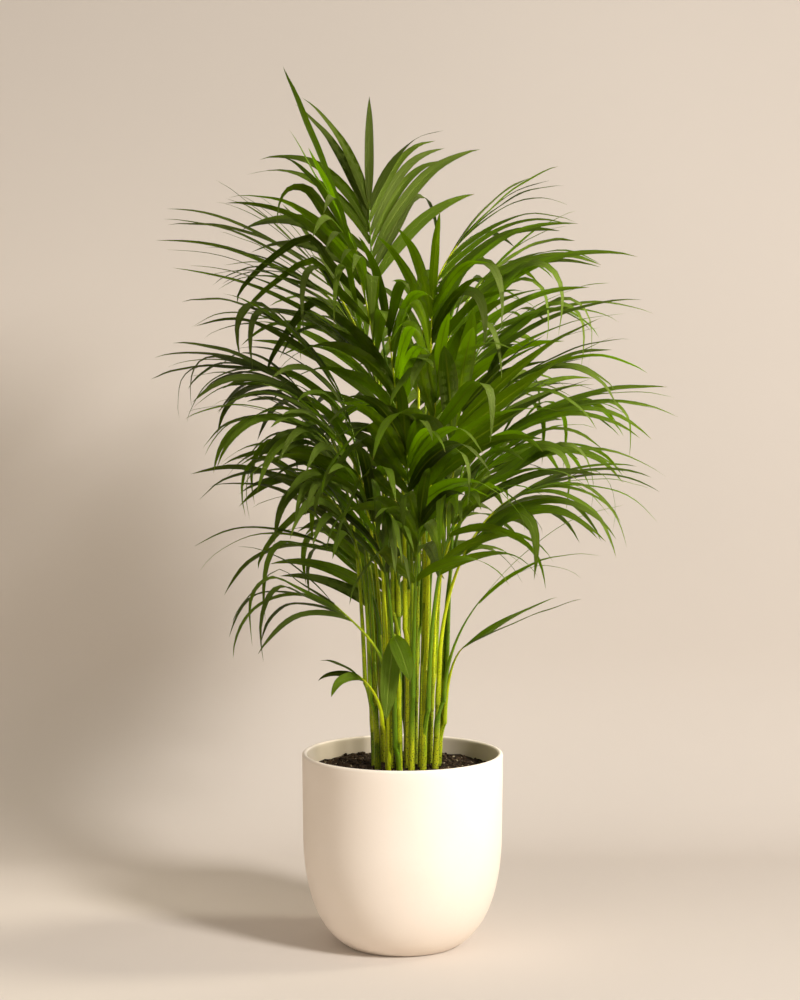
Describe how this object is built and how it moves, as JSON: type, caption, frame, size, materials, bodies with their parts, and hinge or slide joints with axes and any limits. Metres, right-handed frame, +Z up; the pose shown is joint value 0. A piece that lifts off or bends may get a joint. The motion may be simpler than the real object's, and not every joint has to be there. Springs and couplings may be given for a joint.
{
  "type": "potted palm",
  "caption": "Clumping feather palm in a smooth U-shaped ceramic planter: slender canes rise from the soil into arching fronds of long, narrow leaflets.",
  "frame": {"origin": "centre of the planter's flat foot, on the surface it stands on", "axes": "+Z up along the planter's axis, -Y towards the front of the plant, +X to its right seen from the front"},
  "size_m": [0.7316, 0.6407, 1.2084],
  "materials": {
    "ceramic": "matte",
    "soil": "matte",
    "cane": "satin",
    "frond": "satin"
  },
  "bodies": {
    "root": {"pot": "ceramic", "soil": "soil", "cane_01": "cane", "cane_02": "cane", "cane_03": "cane", "cane_04": "cane", "cane_05": "cane", "cane_06": "cane", "cane_07": "cane", "cane_08": "cane", "cane_09": "cane", "cane_10": "cane", "cane_11": "cane", "cane_12": "cane", "cane_13": "cane", "cane_14": "cane", "cane_15": "cane", "cane_16": "cane", "frond_01": "frond", "frond_02": "frond", "frond_03": "frond", "frond_04": "frond", "frond_05": "frond", "frond_06": "frond", "frond_07": "frond", "frond_08": "frond", "frond_09": "frond", "frond_10": "frond", "frond_11": "frond", "frond_12": "frond", "frond_13": "frond", "frond_14": "frond", "frond_15": "frond", "frond_16": "frond", "frond_17": "frond", "frond_18": "frond", "frond_19": "frond", "frond_20": "frond", "frond_21": "frond", "frond_22": "frond", "frond_23": "frond", "frond_24": "frond", "frond_25": "frond", "frond_26": "frond", "frond_27": "frond", "frond_28": "frond", "frond_29": "frond", "frond_30": "frond", "frond_31": "frond", "frond_32": "frond", "frond_33": "frond", "frond_34": "frond", "frond_35": "frond", "frond_36": "frond", "frond_37": "frond", "frond_38": "frond", "frond_39": "frond"}
  },
  "joints": []
}
